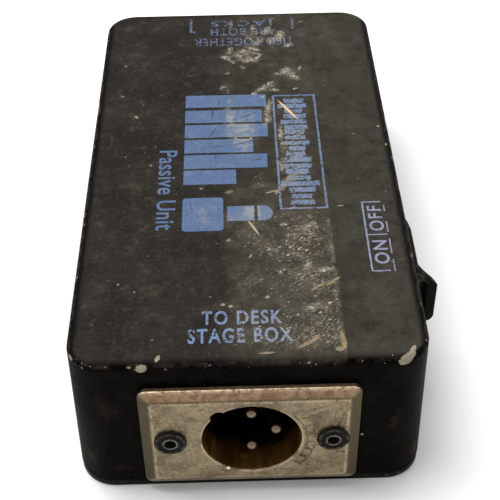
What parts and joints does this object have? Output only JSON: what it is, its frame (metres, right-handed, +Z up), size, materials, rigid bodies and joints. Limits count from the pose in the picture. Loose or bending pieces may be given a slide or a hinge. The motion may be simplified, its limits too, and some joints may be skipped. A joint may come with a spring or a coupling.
{
  "type": "direct injection box",
  "caption": "Pocket-size passive direct box: cast enclosure with a three-pin balanced output, parallel phone jacks and a ground-lift rocker.",
  "frame": {"origin": "centre of the base plate's underside", "axes": "+X towards the rocker switch, -Y towards the XLR output, +Y towards the phone jacks, +Z up through the lid"},
  "size_m": [0.0734, 0.1337, 0.0345],
  "materials": {
    "black_paint": "worn satin black paint on cast aluminium",
    "base_paint": "satin black paint",
    "label_ink": "worn screen-printed blue ink",
    "black_steel": "black oxide, worn",
    "tarnished_nickel": "tarnished nickel plating on a casting",
    "contact_metal": "plated brass, tarnished",
    "dark_insulator": "moulded thermoset",
    "switch_plastic": "moulded black nylon, scuffed",
    "nickel": "nickel-plated brass",
    "spring_brass": "rolled strip",
    "phenolic": "laminated phenolic sheet",
    "core_steel": "varnished laminations",
    "bobbin_plastic": "moulded nylon",
    "coil_tape": "yellow polyester tape",
    "foam": "closed-cell foam",
    "wire_red": "PVC insulation",
    "wire_white": "PVC insulation",
    "wire_black": "PVC insulation",
    "wire_green": "PVC insulation"
  },
  "bodies": {
    "enclosure": {"enclosure_shell": "black_paint", "base_plate": "base_paint", "base_screw_1": "black_steel", "base_screw_2": "black_steel", "base_screw_3": "black_steel", "base_screw_4": "black_steel", "xlr_housing": "tarnished_nickel", "xlr_insert": "dark_insulator", "xlr_pin_1": "contact_metal", "xlr_pin_2": "contact_metal", "xlr_pin_3": "contact_metal", "xlr_rivet_left": "black_steel", "xlr_rivet_right": "black_steel", "switch_body": "switch_plastic", "switch_terminal_1": "spring_brass", "switch_terminal_2": "spring_brass", "jack_left_frame": "nickel", "jack_left_washer": "nickel", "jack_left_nut": "nickel", "jack_left_lower_wafer": "phenolic", "jack_left_upper_wafer": "phenolic", "jack_left_tip_lug": "spring_brass", "jack_left_sleeve_lug": "spring_brass", "jack_left_eyelet": "spring_brass", "jack_right_frame": "nickel", "jack_right_washer": "nickel", "jack_right_nut": "nickel", "jack_right_lower_wafer": "phenolic", "jack_right_upper_wafer": "phenolic", "jack_right_tip_lug": "spring_brass", "jack_right_sleeve_lug": "spring_brass", "jack_right_eyelet": "spring_brass", "transformer_core": "core_steel", "transformer_bobbin": "bobbin_plastic", "transformer_windings": "coil_tape", "transformer_strap": "core_steel", "transformer_pad": "foam", "wire_pin_1": "wire_black", "wire_pin_2": "wire_red", "wire_pin_3": "wire_white", "wire_ground": "wire_green", "wire_sleeve_link": "wire_black", "wire_tip_link": "wire_red", "wire_primary_tip": "wire_white", "wire_primary_sleeve": "wire_black"},
    "rocker": {"switch_rocker": "switch_plastic", "switch_plunger": "contact_metal"},
    "contact_blade": {"switch_blade": "spring_brass"},
    "left_tip_contact": {"jack_left_tip_spring": "spring_brass"},
    "right_tip_contact": {"jack_right_tip_spring": "spring_brass"}
  },
  "joints": [
    {"name": "rocker_tilt", "type": "hinge", "parent": "enclosure", "child": "rocker", "pos_m": [0.0332, -0.0285, 0.0226], "axis": [0, 0, 1], "range_deg": [-26, 0]},
    {"name": "blade_tilt", "type": "hinge", "parent": "enclosure", "child": "contact_blade", "pos_m": [0.0246, -0.0285, 0.0226], "axis": [0, 0, 1], "range_deg": [0, 16]},
    {"name": "left_tip_flex", "type": "hinge", "parent": "enclosure", "child": "left_tip_contact", "pos_m": [-0.0132, 0.0497, 0.01165], "axis": [1, 0, 0], "range_deg": [0, 9], "stiffness_Nm_per_rad": 0.1},
    {"name": "right_tip_flex", "type": "hinge", "parent": "enclosure", "child": "right_tip_contact", "pos_m": [0.0132, 0.0497, 0.01165], "axis": [1, 0, 0], "range_deg": [0, 9], "stiffness_Nm_per_rad": 0.1}
  ],
  "couplings": [
    {"joint": "blade_tilt", "follows": "rocker_tilt", "ratio": -0.615}
  ]
}
